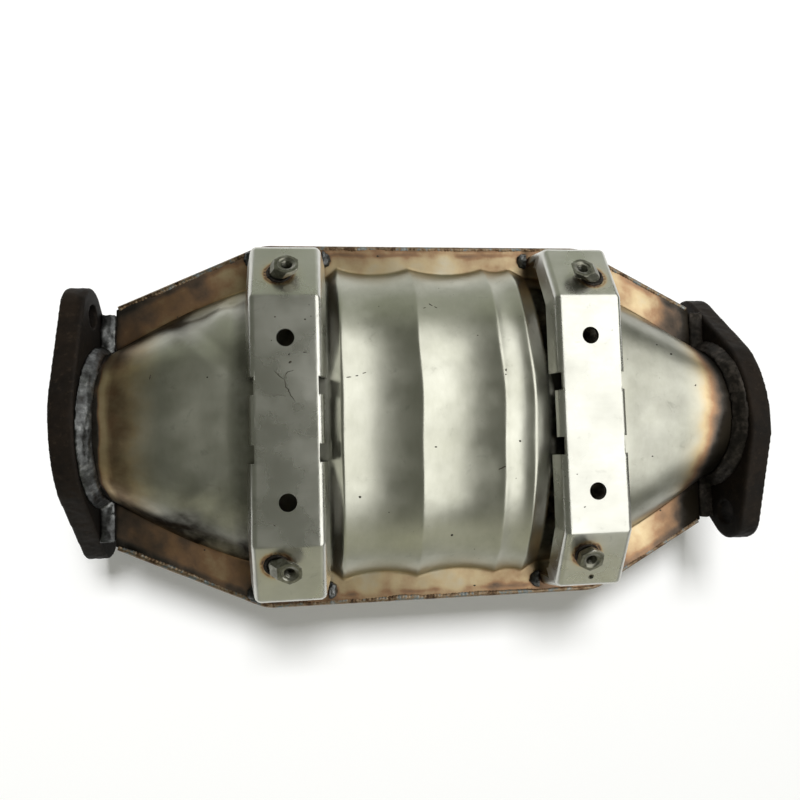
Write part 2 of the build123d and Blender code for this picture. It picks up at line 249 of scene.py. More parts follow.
BURNT_WELD = weld_metal("burnt_weld", [
    (0.0, (0.006, 0.005, 0.004)), (0.5, (0.018, 0.015, 0.012)), (1.0, (0.060, 0.050, 0.042)),
], 0.55, 0.7)
NUT = weld_metal("nut_steel", [
    (0.0, (0.10, 0.098, 0.078)), (0.5, (0.19, 0.188, 0.155)), (1.0, (0.34, 0.335, 0.30)),
], 0.32)


# Mesh helpers

def add_object(name, verts_mm, faces, material, sharp=35.0):
    mesh = bpy.data.meshes.new(name)
    mesh.from_pydata([tuple(float(c) * MM for c in v) for v in verts_mm], [], faces)
    mesh.validate()
    mesh.shade_smooth()
    mesh.set_sharp_from_angle(angle=radians(sharp))
    obj = bpy.data.objects.new(name, mesh)
    bpy.context.scene.collection.objects.link(obj)
    obj.data.materials.append(material)
    return obj


def grid_faces(rows, columns, wrap_rows=False, wrap_columns=False, start=0, flip=False):
    faces = []
    for i in range(rows if wrap_rows else rows - 1):
        for j in range(columns if wrap_columns else columns - 1):
            a = start + i * columns + j
            b = start + i * columns + (j + 1) % columns
            c = start + ((i + 1) % rows) * columns + (j + 1) % columns
            d = start + ((i + 1) % rows) * columns + j
            faces.append((a, d, c, b) if flip else (a, b, c, d))
    return faces


def clouds(points, size_mm, seed, octaves=3):
    """Fractal noise at each point, with lumps of about the given size."""
    shift = Vector((seed * 7.31, seed * 3.17, seed * 5.71))
    return np.array([
        noise.fractal(Vector(p) / size_mm + shift, 0.7, 2.1, octaves) for p in points
    ])


def give_attribute(obj, name, values):
    layer = obj.data.attributes.new(name, "FLOAT", "POINT")
    layer.data.foreach_set("value", np.clip(values, 0, 1).astype(np.float32))


def positions(obj):
    flat = np.zeros(len(obj.data.vertices) * 3)
    obj.data.vertices.foreach_get("co", flat)
    return flat.reshape(-1, 3) / MM


def normals(obj):
    flat = np.zeros(len(obj.data.vertices) * 3)
    obj.data.vertices.foreach_get("normal", flat)
    return flat.reshape(-1, 3)


def move_to(obj, points):
    obj.data.vertices.foreach_set("co", (points * MM).ravel())
    obj.data.update()


def copy_node(node, name, material, longest_mm, sharp=30.0):
    """A fresh mesh of a CAD node, its edges split until none is longer than asked."""
    work = bmesh.new()
    work.from_mesh(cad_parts[node].data)
    bmesh.ops.remove_doubles(work, verts=work.verts, dist=1e-6)
    for _ in range(7):
        long = [e for e in work.edges if e.calc_length() > longest_mm * MM]
        if not long:
            break
        bmesh.ops.subdivide_edges(work, edges=long, cuts=1)
        bmesh.ops.triangulate(work, faces=[f for f in work.faces if len(f.verts) > 3])
    mesh = bpy.data.meshes.new(name)
    work.to_mesh(mesh)
    work.free()
    mesh.shade_smooth()
    mesh.set_sharp_from_angle(angle=radians(sharp))
    obj = bpy.data.objects.new(name, mesh)
    bpy.context.scene.collection.objects.link(obj)
    mesh.materials.append(material)
    return obj


def voxel_node(node, name, material, voxel_mm, smooth=2):
    """A CAD node remeshed evenly, so that it can be roughened."""
    obj = copy_node(node, name, material, 1000)
    remesh = obj.modifiers.new("remesh", "REMESH")
    remesh.mode = "VOXEL"
    remesh.voxel_size = voxel_mm * MM
    soften = obj.modifiers.new("soften", "SMOOTH")
    soften.iterations = smooth
    soften.factor = 0.5
    graph = bpy.context.evaluated_depsgraph_get()
    mesh = bpy.data.meshes.new_from_object(obj.evaluated_get(graph))
    obj.modifiers.clear()
    obj.data = mesh
    mesh.shade_smooth()
    if not mesh.materials:
        mesh.materials.append(material)
    return obj


def settle(obj, node):
    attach(obj, "root")
    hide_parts(node)


# The stamped shells

SHEET = 1.8
NECK_R = 34.5
FACE_IN, FACE_OUT = 11.0, 329.0
NECK_IN, NECK_OUT = 14.0, 323.0
SEAM_IN, SEAM_OUT = 18.0, 322.5
CORNER_IN, CORNER_OUT = 89.5, 261.5
SEAM_HALF = 92.5
END_IN, END_OUT = 60.5, 59.5
CORNER_R = 24.0
BEAD_ROOM = 2.0
CONE_IN, CONE_OUT = 123.0, 229.0
STEP_HALF, STEP_HIGH = 76.5, 34.0
CAN_IN, CAN_OUT = 128.5, 221.0
CAN_HALF, CAN_HIGH, FULLNESS = 81.0, 38.2, 0.83
HOLLOW_DEEP = 3.0
BEND_R = 2.5
ARCH, WEB, BEND = 112, 7, 7
STATION = {"inlet": 103.0, "outlet": 248.0}
# each hollow of the can as its start, its length and its share of the full depth
HOLLOWS = ((CAN_IN, 38.0, 1.0), (166.5, 40.0, 1.0), (206.5, 14.5, 0.45))


def exact_profile(x):
    """Half width, height and fullness of the raised form at station x."""
    if x <= NECK_IN or x >= NECK_OUT:
        return NECK_R, NECK_R, 0.5
    if x < CONE_IN or x > CONE_OUT:
        s = (x - NECK_IN) / (CONE_IN - NECK_IN) if x < CONE_IN else (NECK_OUT - x) / (NECK_OUT - CONE_OUT)
        swell = sin(s * pi / 2)
        half = NECK_R + (STEP_HALF - NECK_R) * swell
        high = NECK_R + (STEP_HIGH - NECK_R) * swell
        return half, high, 0.5 + (FULLNESS - 0.5) * swell
    if x < CAN_IN or x > CAN_OUT:
        s = (x - CONE_IN) / (CAN_IN - CONE_IN) if x < CAN_IN else (CONE_OUT - x) / (CONE_OUT - CAN_OUT)
        return STEP_HALF + (CAN_HALF - STEP_HALF) * s, STEP_HIGH + (CAN_HIGH - STEP_HIGH) * s, FULLNESS
    for start, span, depth in HOLLOWS:
        if x <= start + span:
            s = (x - start) / span
            sag = HOLLOW_DEEP * depth * 4 * s * (1 - s)
            return CAN_HALF - sag, CAN_HIGH - sag, FULLNESS
    return CAN_HALF, CAN_HIGH, FULLNESS


# the ridges of pressed sheet are slightly round, so the profile is smoothed along x
PROFILE_STEP, PROFILE_SOFT, KERNEL_HALF = 0.1, 0.6, 30
fine_x = np.arange(FACE_IN - 4, FACE_OUT + 4, PROFILE_STEP)
table = np.array([exact_profile(x) for x in fine_x])
kernel = np.exp(-0.5 * (np.arange(-KERNEL_HALF, KERNEL_HALF + 1) * PROFILE_STEP / PROFILE_SOFT) ** 2)
kernel /= kernel.sum()
for column in range(2):
    padded = np.pad(table[:, column], KERNEL_HALF, mode="edge")
    table[:, column] = np.convolve(padded, kernel, mode="valid")


def profile(x):
    """Half width, height and fullness of the smoothed form at station x."""
    return [np.interp(x, fine_x, table[:, column]) for column in range(3)]


def seam_edge(x):
    """Half width of the hexagonal seam flange, with its rounded corners."""
    slope_in = (SEAM_HALF - END_IN) / (CORNER_IN - SEAM_IN)
    slope_out = (SEAM_HALF - END_OUT) / (SEAM_OUT - CORNER_OUT)
    y = np.minimum(SEAM_HALF, END_IN + (x - SEAM_IN) * slope_in)
    y = np.minimum(y, END_OUT + (SEAM_OUT - x) * slope_out)
    for corner, slope, way in ((CORNER_IN, slope_in, 1), (CORNER_OUT, slope_out, -1)):
        turn = np.arctan(slope)
        reach = CORNER_R * np.tan(turn / 2)
        centre = corner + way * reach
        inside = (way * (centre - x) > 0) & (way * (centre - x) < reach * (1 + np.cos(turn)))
        arc = SEAM_HALF - CORNER_R + np.sqrt(np.maximum(CORNER_R ** 2 - (x - centre) ** 2, 0))
        y = np.where(inside, np.minimum(arc, SEAM_HALF), y)
    return y


def stations(breaks, step, fine):
    """Stations from the first break to the last, closer together near each break."""
    xs = set(np.round(np.arange(breaks[0], breaks[-1], step), 3))
    for b in breaks:
        xs |= set(np.round(np.arange(b - 3 * step, b + 3 * step, fine), 3))
    xs = sorted(x for x in xs if breaks[0] < x < breaks[-1])
    kept = [breaks[0]]
    for x in xs:
        if x - kept[-1] > fine * 0.7 and breaks[-1] - x > fine * 0.7:
            kept.append(x)
    return np.array(kept + [breaks[-1]])


def arch_rows(x, inset, seed):
    """The raised form's points at station x, from +Y to -Y, with slightly wandering ridges."""
    angles = np.linspace(0, pi, ARCH)
    window = np.clip((x - CONE_IN - 3.0) / 6, 0, 1) * np.clip((CONE_OUT - 4.0 - x) / 6, 0, 1)
    wander = np.array([noise.noise(Vector((a * 2.6, seed, 4.2))) for a in angles]) * 1.1 * window
    w, h, p = profile(x + wander)
    w, h = w - inset, h - inset
    return np.stack([np.full(ARCH, x), w * np.cos(angles), h * np.sin(angles) ** (2 * p)], 1)


def respaced(path, count):
    """The run of (y, z) points along path, evenly spaced."""
    along = np.concatenate([[0], np.cumsum(np.hypot(*np.diff(path, axis=0).T))])
    even = np.linspace(0, along[-1], count)
    return np.stack([np.interp(even, along, path[:, 0]), np.interp(even, along, path[:, 1])], 1)


def outer_rows(x, seed, edge):
    """Web, rounded junction and raised form at station x, as one run of points."""
    arch = arch_rows(x, 0, seed)
    ys, zs = arch[:, 1], arch[:, 2]
    run = []
    for way in (1, -1):
        y = ys[::way] * way
        z = zs[::way]
        dy, dz = np.gradient(y), np.gradient(z)
        length = np.hypot(dy, dz) + 1e-9
        ny, nz = dz / length, -dy / length
        lift = z + BEND_R * nz - (SHEET + BEND_R)
        k = int(np.argmax(lift > 0))
        t = lift[k] / (lift[k] - lift[k - 1] + 1e-9) if k > 0 else 0.0
        foot_y = y[k] + (y[k - 1] - y[k]) * t
        foot_z = z[k] + (z[k - 1] - z[k]) * t
        n_y = ny[k] + (ny[k - 1] - ny[k]) * t
        n_z = nz[k] + (nz[k - 1] - nz[k]) * t
        centre_y = foot_y + BEND_R * n_y
        turn = atan2(-n_z, -n_y)
        sweep = np.linspace(-pi / 2, turn if turn < 0 else turn - 2 * pi, BEND)
        bend = [(centre_y + BEND_R * cos(a), SHEET + BEND_R + BEND_R * sin(a)) for a in sweep]
        web = [(edge + (bend[0][0] - edge) * i / WEB, SHEET) for i in range(WEB)]
        run.append((web + bend, foot_y, foot_z, n_z))
    (left, ly, lz, _), (right, ry, rz, _) = run
    # the raised form between the two bends, respaced so that every station has as many points
    keep = (ys < ly - 0.05) & (ys > -ry + 0.05)
    path = np.concatenate([[(ly, lz)], np.stack([ys[keep], zs[keep]], 1), [(-ry, rz)]])
    middle = respaced(path, ARCH + 2)
    points = left + [tuple(q) for q in middle[1:-1]] + [(-y, z) for y, z in reversed(right)]
    return np.array([(x, y, z) for y, z in points])


def inner_rows(x, seed, edge):
    """The sheet's inner face at station x, with as many points as its outer face."""
    middle = respaced(arch_rows(x, SHEET, seed)[:, 1:], ARCH)
    side = WEB + BEND
    web = [(edge + (middle[0, 0] - edge) * i / side, 0.0) for i in range(side)]
    points = web + [tuple(q) for q in middle] + [(-y, z) for y, z in reversed(web)]
    return np.array([(x, y, z) for y, z in points])


def pressed(outer, inner, seed, up):
    """Both faces with the broad unevenness of pressed sheet, moved along the surface's own normal."""
    rows, columns = outer.shape[:2]
    normal = np.cross(np.gradient(outer, axis=1), np.gradient(outer, axis=0))
    normal /= np.linalg.norm(normal, axis=2, keepdims=True) + 1e-9
    normal *= np.sign(normal[:, columns // 2, 2]).mean()
    flat = outer.reshape(-1, 3)
    height = np.clip((flat[:, 2] - 3.0) / 6.0, 0, 1)
    push = clouds(flat, 42.0, seed) * 0.10 + clouds(flat, 9.0, seed + 3) * 0.015
    push = np.clip(push, -0.5, 0.35) * height + press_marks(flat, up) * height
    push = push.reshape(rows, columns)
    raised = slice(WEB + BEND, -(WEB + BEND))
    inner[:, raised, 2] += push[:, raised] * 0.8
    inner[:, :, 2] = np.maximum(inner[:, :, 2], 0.0)
    return outer + normal * push[:, :, None], inner


def sheet_faces(rows, columns):
    """Faces of the outer grid, of the inner grid after it, and of the edges between them."""
    count = rows * columns
    faces = grid_faces(rows, columns)
    faces += grid_faces(rows, columns, start=count, flip=True)
    for i in range(rows - 1):
        for j in (0, columns - 1):
            a, b = i * columns + j, (i + 1) * columns + j
            quad = (a, b, b + count, a + count)
            faces.append(quad if j == 0 else quad[::-1])
    for j in range(columns - 1):
        for i in (0, rows - 1):
            a, b = i * columns + j, i * columns + j + 1
            quad = (a, a + count, b + count, b)
            faces.append(quad if i == 0 else quad[::-1])
    return faces


def half_neck(xs, start):
    """Points and faces of a short half neck that reaches on into its flange."""
    angles = np.linspace(0, pi, 61)
    rings = []
    for x in xs:
        w, h, p = exact_profile(x)
        for inset, way in ((0, 1), (SHEET, -1)):
            ys = (w - inset) * np.cos(angles)
            zs = (h - inset) * np.sin(angles) ** (2 * p)
            rings += [(x, y, z) for y, z in list(zip(ys, zs))[::way]]
    return np.array(rings), grid_faces(len(xs), 2 * len(angles), wrap_columns=True, start=start)


def shell(name, node, up, seed):
    """One half of the casing: a closed sheet with its web and raised form, and two half necks."""
    breaks = [SEAM_IN, CONE_IN, CAN_IN, HOLLOWS[1][0], HOLLOWS[2][0], CAN_OUT, CONE_OUT, SEAM_OUT]
    outer, inner = [], []
    for x in stations(breaks, 1.5, 0.45):
        edge = float(seam_edge(x)) - BEAD_ROOM
        outer.append(outer_rows(x, seed, edge))
        inner.append(inner_rows(x, seed, edge))
    outer, inner = pressed(np.array(outer), np.array(inner), seed, up)
    verts = np.concatenate([outer.reshape(-1, 3), inner.reshape(-1, 3)])
    faces = sheet_faces(*outer.shape[:2])
    for xs in ((FACE_IN, NECK_IN, 16.0, SEAM_IN), (SEAM_OUT, NECK_OUT, FACE_OUT)):
        points, neck_faces = half_neck(xs, len(verts))
        verts = np.concatenate([verts, points])
        faces += neck_faces
    if not up:
        verts = verts * np.array([1, 1, -1])
        faces = [f[::-1] for f in faces]
    obj = add_object(name, verts, faces, SHELL, 40)
    work = bmesh.new()
    work.from_mesh(obj.data)
    bmesh.ops.recalc_face_normals(work, faces=work.faces)
    work.to_mesh(obj.data)
    work.free()
    obj.data.shade_smooth()
    obj.data.set_sharp_from_angle(angle=radians(40))
    colour_shell(obj)
    settle(obj, node)


def bell(distance, width):
    return np.exp(-0.5 * (distance / width) ** 2)


def past_fan_edge(x, y):
    """How far (x, y) lies past the fan's edge, from the web beside the neck to the bracket's middle."""
    return (x - 44.5) * 0.656 + (y - 48.0) * 0.754


# dents and swellings of the upper half as (height, x, half length, y, half width)
DENTS = (
    (1.3, 68.0, 4.2, 57.0, 9.0), (0.5, 52.5, 3.0, 53.5, 3.0), (0.45, 286.0, 22.0, 3.5, 5.0),
    (-0.35, 205.0, 3.5, -25.5, 4.0), (-0.30, 176.0, 5.0, 56.0, 3.0),
)


def press_marks(points, up):
    """Shallow facets, dents and creases left by the press tools, as a push along the normal."""
    x, y = points[:, 0], points[:, 1]
    reach = np.clip((x - SEAM_IN) / 58.0, 0, 1)
    out = -1.3 * reach + 0.115 * np.clip(x - 76.0, 0, 12.0)
    for way, deep in ((1, 0.19), (-1, 0.15)):
        out -= deep * np.clip(past_fan_edge(x, way * y), 0, 9.0) * np.clip((90.0 - x) / 24.0, 0, 1)
    out *= np.clip((118.0 - x) / 22.0, 0, 1)
    if up:
        for high, dent_x, half_long, dent_y, half_wide in DENTS:
            out += high * bell(x - dent_x, half_long) * bell(y - dent_y, half_wide)
    return out


def on_web(z):
    """1 on the flat web, fading to 0 on the raised form."""
    return np.clip((3.6 - z) / 1.4, 0, 1)


def band_stations(p, rough):
    """Stations made wavy, for the bands of tint and soot at the inlet and the outlet neck."""
    return p[:, 0] - 1.5 * rough, p[:, 0] + 2.2 * rough + 6.0 * np.clip(-p[:, 1] / 30.0, 0, 1)


def heat_tint(p, rough):
    """Tint of the web, the flanks beside it, both necks and the feet of the brackets."""
    x, y, z = p[:, 0], p[:, 1], np.abs(p[:, 2])
    edge = (seam_edge(x) - np.abs(y)) * 0.92
    web = np.interp(x, [18, 60, 92, 120, 175, 230, 262, 284, 304, 322],
                    [0.70, 0.56, 0.50, 0.47, 0.42, 0.46, 0.42, 0.48, 0.60, 0.88])
    web = web + 0.10 * np.clip(-y / 30.0, 0, 1) * (x < 110) + 0.16 * rough + 0.05 * clouds(p, 6.0, 6, 3)
    web = web + 0.18 * bell(edge - 4.2 - 1.2 * rough, 0.8) + 0.16 * np.clip(1 - (edge - 2.0) / 1.4, 0, 1)
    flank = np.clip((11.0 - z) / 8.0, 0, 1) * 0.55 * np.clip(web, 0, 0.6)
    start, end = band_stations(p, rough)
    neck_in = np.interp(start, [18, 18.8, 19.6, 21.6, 24.0, 30.0, 38.0, 46],
                        [0.92, 0.62, 0.47, 0.46, 0.55, 0.48, 0.24, 0.0])
    neck_out = np.interp(end, [300, 306, 310.5, 314, 317, 319.5, 322],
                         [0.0, 0.16, 0.38, 0.58, 0.76, 0.95, 1.0])
    heat = np.maximum(np.maximum(web * on_web(z), flank * (1 - on_web(z))), np.maximum(neck_in, neck_out))
    for station in STATION.values():
        away = np.hypot((np.abs(x - station) - 19.5) / 7.0, (np.abs(y) - 85.0) / 7.0)
        heat = np.maximum(heat, np.clip(1 - away, 0, 1) * 1.1)
    return heat


def soot_and_painted_shade(p, rough):
    """Soot beside the neck welds and, partly, low on the inlet cone by the web; painted shade under the brackets,
    beside the inlet cone's fan, in that low corner and over the outlet cone; darker bands on the inlet cone's -Y
    side, along the web beside the can and just inside the bracket legs.
    """
    x, y, z = p[:, 0], p[:, 1], np.abs(p[:, 2])
    raised = z > 2.2
    start, end = band_stations(p, rough)
    soot_and_shade = bell(x - 17.5, 1.2) * 0.5 + bell(np.minimum(end, NECK_OUT) - NECK_OUT, 2.2) * 0.95
    # partly soot, partly painted shade in the corner between the inlet cone's flank and the web
    soot_and_shade += 0.55 * bell(z - 5.0, 4.5) * bell(x - 26.0, 11.0)
    soot_and_shade += np.interp(start, [18, 21.5, 24, 29, 38, 56], [0.0, 0.08, 0.66, 0.66, 0.34, 0.0]) * raised
    # painted shade on the inlet cone's flank beside the fan's edge, dimming a reflection there
    beside = np.clip((past_fan_edge(x, np.abs(y)) + 7.0) / 9.0, 0, 1)
    soot_and_shade += 0.62 * beside * np.clip((70.0 - x) / 22.0, 0, 1) * raised
    # painted shadow on the upper shell under both brackets, full under the outlet bracket
    under = np.minimum(np.clip((x - 75.5) / 6.0, 0, 1), np.clip((126.0 - x) / 6.0, 0, 1)) * 0.62
    under = np.maximum(under, np.minimum(np.clip((x - 228.0) / 1.6, 0, 1), np.clip((266.0 - x) / 3.0, 0, 1)))
    soot_and_shade = np.maximum(soot_and_shade, under * np.clip((z - 4.0) / 6.0, 0.35, 1) * (p[:, 2] > 0))
    soot_and_shade += 0.5 * bell(z - 4.0, 3.5) * bell(x - 312.0, 9.0)
    # painted shade over the outlet cone, dimming its reflection
    soot_and_shade += np.interp(x, [264, 272, 298, 312], [0.0, 0.34, 0.34, 0.0]) * raised
    # darker along the web beside the can
    soot_and_shade += np.interp(x, [122, 130, 228, 236], [0.0, 0.26, 0.26, 0.0]) * on_web(z)
    # darker towards the inlet cone's -Y side
    low_cone = np.interp(x, [30, 46, 76, 90], [0.0, 0.34, 0.34, 0.0])
    soot_and_shade += low_cone * np.clip((-y - 14.0) / 26.0, 0, 1) * raised
    # partly soot, partly painted shade low on the inlet cone's flanks by the web, more on the -Y side
    flank = np.clip((20.0 - z) / 16.0, 0, 1) * np.interp(x, [88, 96], [1.0, 0.0])
    soot_and_shade += flank * np.where(y < 0, 0.6, 0.28) * raised
    # darker lines on the web just inside each bracket's legs
    for station in STATION.values():
        soot_and_shade += 0.35 * np.clip(1 - np.abs(np.abs(x - station) - 17.0) / 3.5, 0, 1) * on_web(z)
    return soot_and_shade


def colour_shell(obj):
    """Heat tint, and soot with painted shade, as values on the mesh."""
    p = positions(obj)
    rough = clouds(p, 20.0, 5, 3)
    give_attribute(obj, "tint_level", heat_tint(p, rough))
    give_attribute(obj, "soot_and_shade_level", soot_and_painted_shade(p, rough))


shell("shell_upper", "upper_shell", True, 1)
shell("shell_lower", "lower_shell", False, 2)


# Brackets

PLATE = 42.5
SLOPE_START = 56.5
SLOPE = atan2(16.2, 27.7)
# each weld nut's offset along x, its distance from the middle, and its lean along the slope's x and y
STANCES = {
    ("inlet", "left"): (-2.8, 68.7, 3.7, -0.3),
    ("inlet", "right"): (-5.7, 65.5, 6.0, -0.4),
    ("outlet", "left"): (4.6, 67.3, -6.6, -0.2),
    ("outlet", "right"): (-4.6, 67.5, 0.1, -1.4),
}


def slope_matrix(end, side, offset, reach):
    """Frame of a weld nut: its origin on the bracket's sloped end, its z axis square to the slope."""
    way = 1 if side == "left" else -1
    z = PLATE - (reach - SLOPE_START) * tan(SLOPE)
    x_dir = Vector((way, 0, 0))
    z_dir = Vector((0, way * sin(SLOPE), cos(SLOPE)))
    y_dir = z_dir.cross(x_dir)
    turn = Matrix((x_dir, y_dir, z_dir)).transposed().to_4x4()
    return Matrix.Translation((STATION[end] + offset, way * reach, z)) @ turn


def dress_bracket(end, seed):
    obj = copy_node(f"{end}_bracket", f"bridge_{end}", BRACKET, 2.1, 28)
    p = positions(obj)
    n = normals(obj)
    warp = clouds(p, 34.0, seed) * 0.10 + clouds(p, 8.0, seed + 1) * 0.012
    p = p + n * np.clip(warp, -0.3, 0.2)[:, None]
    p[:, 2] = np.maximum(p[:, 2], SHEET)
    move_to(obj, p)
    z = p[:, 2]
    heat = np.clip((14.0 - z) / 12.0, 0, 1) * 0.75
    for side in ("left", "right"):
        offset, reach, _, _ = STANCES[(end, side)]
        foot = slope_matrix(end, side, offset, reach).translation
        away = np.linalg.norm(p - np.array(foot), axis=1)
        halo = bell(away - 6.6, 0.75) * (0.62 + 0.2 * clouds(p, 4.0, seed + 5, 2))
        heat = np.maximum(heat, halo + 0.12 * np.clip((13.0 - away) / 6.0, 0, 1))
    give_attribute(obj, "tint_level", heat)
    # the bracket darker towards its feet, below z 5
    give_attribute(obj, "soot_and_shade_level", np.clip((5.0 - z) / 4.0, 0, 1) * 0.5)
    settle(obj, f"{end}_bracket")


for end, seed in (("inlet", 11), ("outlet", 12)):
    dress_bracket(end, seed)


# Small marks

def level(x, y):
    """Height of the upper shell's raised form at (x, y)."""
    w, h, p = profile(x)
    lift = h * max(1 - (y / w) ** 2, 0.0) ** p
    return lift + float(press_marks(np.array([[x, y, lift]]), True)[0])


def surface(x, y):
    """That height, and the slopes along x and y."""
    z = level(x, y)
    return z, (level(x + 0.5, y) - z) / 0.5, (level(x, y + 0.5) - z) / 0.5


def specks(name, marks):
    """Flat grains of spatter; each mark is (x, y, length, width, turn, base height or None)."""
    verts, faces = [], []
    around = 14
    for number, (x, y, long, wide, turn, base) in enumerate(marks):
        z, slope_x, slope_y = surface(x, y) if base is None else (base, 0.0, 0.0)
        start = len(verts)
        for size, rise in ((1.0, -0.25), (1.0, 0.06), (0.6, 0.20)):
            for k in range(around):
                a = 2 * pi * k / around
                wobble = 1 + 0.22 * noise.noise(Vector((cos(a) * 1.7, sin(a) * 1.7, number * 3.1)))
                u, v = size * wobble * long / 2 * cos(a), size * wobble * wide / 2 * sin(a)
                dx, dy = u * cos(turn) - v * sin(turn), u * sin(turn) + v * cos(turn)
                verts.append((x + dx, y + dy, z + slope_x * dx + slope_y * dy + rise))
        faces += grid_faces(3, around, wrap_columns=True, start=start)
        faces.append(tuple(start + k for k in reversed(range(around))))
        faces.append(tuple(start + 2 * around + k for k in range(around)))
    obj = add_object(name, np.array(verts), faces, SPATTER, 60)
    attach(obj, "root")


def scratch(name, width, path):
    """A thin raised burr along a path on a bracket's level plate."""
    points = []
    for (x0, y0), (x1, y1) in zip(path, path[1:]):
        for t in np.arange(0, 1, 0.08):
            points.append((x0 + (x1 - x0) * t, y0 + (y1 - y0) * t))
    points = np.array(points + [path[-1]])
    sway = clouds(np.column_stack([points, np.zeros(len(points))]), 2.2, 81, 2) * 0.45
    heading = np.gradient(points, axis=0)
    heading /= np.linalg.norm(heading, axis=1, keepdims=True)
    across = np.column_stack([-heading[:, 1], heading[:, 0]])
    points = points + across * sway[:, None]
    taper = np.sin(np.linspace(0.12, pi - 0.12, len(points))) ** 0.6
    verts = []
    for point, side, half in zip(points, across, width / 2 * taper):
        for out, rise in ((-1.0, -0.3), (-0.6, 0.05), (0.0, 0.09), (0.6, 0.05), (1.0, -0.3)):
            verts.append((point[0] + side[0] * out * half, point[1] + side[1] * out * half, PLATE + rise))
    faces = grid_faces(len(points), 5)
    obj = add_object(name, np.array(verts), faces, SPATTER, 60)
    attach(obj, "root")


SPATTER = weld_metal("spatter", [
    (0.0, (0.020, 0.018, 0.014)), (0.5, (0.045, 0.040, 0.030)), (1.0, (0.10, 0.09, 0.07)),
], 0.55, 0.7)

specks("spatter_shell", [
    (131.8, 19.5, 2.6, 0.5, 0.1, None), (135.6, 20.2, 1.5, 0.5, 0.2, None), (139.2, 21.6, 2.2, 0.4, 0.25, None),
    (174.4, 57.2, 2.4, 0.7, -0.6, None), (177.0, 55.8, 1.8, 0.5, -0.5, None), (171.0, 55.2, 2.0, 0.5, 0.3, None),
    (207.5, 21.8, 1.6, 0.7, 1.4, None), (207.2, 19.6, 0.8, 0.6, 0.0, None), (136.0, -36.8, 1.3, 1.1, 0.0, None),
    (181.7, -58.0, 1.4, 1.2, 0.0, None), (172.0, -14.3, 1.2, 0.6, 0.0, None), (212.9, -12.6, 1.1, 0.9, 0.0, None),
    (204.0, -25.2, 4.6, 0.7, 0.45, None), (66.5, 21.0, 0.9, 0.7, 0.0, None), (297.4, 29.8, 1.3, 1.0, 0.3, None),
    (291.0, 35.0, 0.9, 0.7, 0.0, None), (40.8, 21.5, 0.5, 2.6, -0.1, None), (306.0, 13.0, 1.2, 0.6, 0.8, None),
    (150.0, -45.0, 0.7, 0.6, 0.0, None), (196.0, 40.0, 0.8, 0.5, 0.0, None), (282.0, -22.0, 0.8, 0.6, 0.0, None),
])
specks("spatter_web", [
    (47.8, 54.5, 1.6, 1.3, 0.0, SHEET), (150.0, 87.0, 1.2, 0.9, 0.0, SHEET), (60.0, -62.0, 1.0, 0.8, 0.0, SHEET),
    (300.0, -52.0, 1.1, 0.8, 0.0, SHEET), (196.0, -86.5, 1.3, 0.8, 0.0, SHEET),
])
for name, width, path in (
    ("crack_stem", 0.62, [(101.9, 18.6), (103.1, 14.8), (104.9, 11.2), (107.2, 7.8)]),
    ("crack_left", 0.6, [(97.6, 22.0), (99.8, 20.0), (101.9, 18.6)]),
    ("crack_right", 0.55, [(101.9, 18.6), (103.6, 21.4), (106.4, 22.6)]),
    ("crack_fine", 0.24, [(96.4, 10.8), (99.6, 11.4), (103.0, 10.6)]),
):
    scratch(name, width, path)
specks("spatter_plate", [
    (105.0, 26.0, 1.6, 1.0, 0.6, PLATE), (104.6, 29.6, 1.1, 0.6, 0.9, PLATE), (98.6, 46.8, 0.9, 0.7, 0.0, PLATE),
    (112.0, 45.6, 0.9, 0.7, 0.0, PLATE), (97.0, -47.0, 0.7, 0.5, 0.0, PLATE), (96.8, 36.0, 0.6, 0.5, 0.0, PLATE),
    (111.6, 30.4, 1.8, 0.35, 0.1, PLATE), (241.0, -44.5, 1.0, 0.5, 0.4, PLATE), (238.0, -29.0, 0.8, 0.4, 0.1, PLATE),
])


# Flanges

def dress_flange(end, seed):
    """The flange with its rim pitted and its flat faces left nearly plain."""
    obj = voxel_node(f"{end}_flange", f"flange_{end}", FLANGE, 1.1, 1)
    p = positions(obj)
    n = normals(obj)
    rim = 1 - np.abs(n[:, 0])
    dents = clouds(p, 11.0, seed, 4) * 0.5
    scale = clouds(p, 3.0, seed + 1, 3) * 0.22
    push = -0.35 + dents * 0.5 * rim + scale * (0.3 + 0.7 * rim)
    push = np.minimum(push, -0.02) * (0.25 + 0.75 * rim)
    move_to(obj, p + n * push[:, None])
    settle(obj, f"{end}_flange")


dress_flange("inlet", 21)
dress_flange("outlet", 22)


# Welds

def dress_neck_weld(end, material, seed):
    """The bead round a neck, rippled and lumpy, with its arms across the seam flange's end."""
    obj = voxel_node(f"{end}_flange_weld", f"weld_{end}", material, 0.7, 2)
    p = positions(obj)
    n = normals(obj)
    angle = np.arctan2(p[:, 2], p[:, 1])
    radius = np.hypot(p[:, 1], p[:, 2])
    ripple = np.sin(angle * 78 + 2.6 * clouds(p, 9.0, seed, 2)) * 0.045
    arm = radius > 42.0
    ripple = np.where(arm, np.sin(p[:, 1] * 2.0) * 0.08, ripple)
    # the lumps are drawn out along the bead
    run = np.column_stack([p[:, 0] * 1.3, radius * 1.3, angle * 12.0])
    lumps = np.where(arm, clouds(p, 7.0, seed + 1, 3) * 0.6, clouds(run, 5.5, seed + 1, 3) * 0.5)
    p = p + n * (ripple + np.clip(lumps, -0.6, 0.7))[:, None]
    low, high = (FACE_IN - 0.4, 19.0) if end == "inlet" else (321.4, FACE_OUT + 0.4)
    p[:, 0] = np.clip(p[:, 0], low, high)
    move_to(obj, p)
    settle(obj, f"{end}_flange_weld")


dress_neck_weld("inlet", SILVER_WELD, 31)
dress_neck_weld("outlet", BURNT_WELD, 33)


